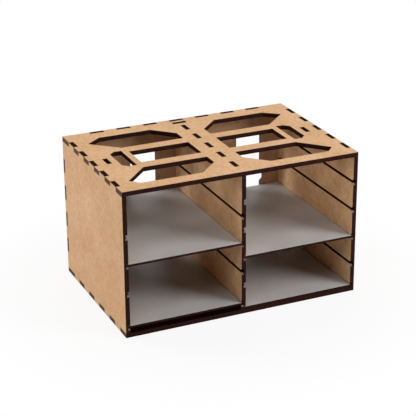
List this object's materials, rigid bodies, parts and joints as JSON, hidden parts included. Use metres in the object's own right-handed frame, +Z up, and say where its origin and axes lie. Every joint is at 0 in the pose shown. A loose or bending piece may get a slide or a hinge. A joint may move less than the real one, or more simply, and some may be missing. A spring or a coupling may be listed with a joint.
{
  "type": "miniature carrying case",
  "caption": "Open-fronted fibreboard carrying case for miniatures, with steel-topped shelves that slide in grooves, a cut-out top to hold it by and windows in the back.",
  "frame": {"origin": "middle of the underside, on the surface the case stands on", "axes": "+Z up, +X to the right seen from the open front, +Y from the open front to the back"},
  "size_m": [0.33, 0.2226, 0.1994],
  "materials": {
    "fibreboard": "bare matt board with laser-burnt edges",
    "steel_sheet": "matt light grey coated sheet"
  },
  "bodies": {
    "case": {"back_panel": "fibreboard", "bottom_panel": "fibreboard", "divider_left_rail_1": "fibreboard", "divider_left_rail_2": "fibreboard", "divider_left_rail_3": "fibreboard", "divider_left_rail_4": "fibreboard", "divider_left_rail_5": "fibreboard", "divider_right_rail_1": "fibreboard", "divider_right_rail_2": "fibreboard", "divider_right_rail_3": "fibreboard", "divider_right_rail_4": "fibreboard", "divider_right_rail_5": "fibreboard", "left_outer_wall": "fibreboard", "left_riser_strip": "fibreboard", "left_wall_rail_1": "fibreboard", "left_wall_rail_2": "fibreboard", "left_wall_rail_3": "fibreboard", "left_wall_rail_4": "fibreboard", "left_wall_rail_5": "fibreboard", "right_outer_wall": "fibreboard", "right_wall_rail_1": "fibreboard", "right_wall_rail_2": "fibreboard", "right_wall_rail_3": "fibreboard", "right_wall_rail_4": "fibreboard", "right_wall_rail_5": "fibreboard", "top_panel": "fibreboard"},
    "left_lower_shelf": {"left_lower_shelf_board": "fibreboard", "left_lower_shelf_sheet": "steel_sheet"},
    "left_upper_shelf": {"left_upper_shelf_board": "fibreboard", "left_upper_shelf_sheet": "steel_sheet"},
    "right_lower_shelf": {"right_lower_shelf_board": "fibreboard", "right_lower_shelf_sheet": "steel_sheet"},
    "right_upper_shelf": {"right_upper_shelf_board": "fibreboard", "right_upper_shelf_sheet": "steel_sheet"}
  },
  "joints": [
    {"name": "left_lower_shelf_slide", "type": "slide", "parent": "case", "child": "left_lower_shelf", "axis": [0, -1, 0], "range_m": [0, 0.195]},
    {"name": "left_upper_shelf_slide", "type": "slide", "parent": "case", "child": "left_upper_shelf", "axis": [0, -1, 0], "range_m": [0, 0.195]},
    {"name": "right_lower_shelf_slide", "type": "slide", "parent": "case", "child": "right_lower_shelf", "axis": [0, -1, 0], "range_m": [0, 0.195]},
    {"name": "right_upper_shelf_slide", "type": "slide", "parent": "case", "child": "right_upper_shelf", "axis": [0, -1, 0], "range_m": [0, 0.195]}
  ]
}
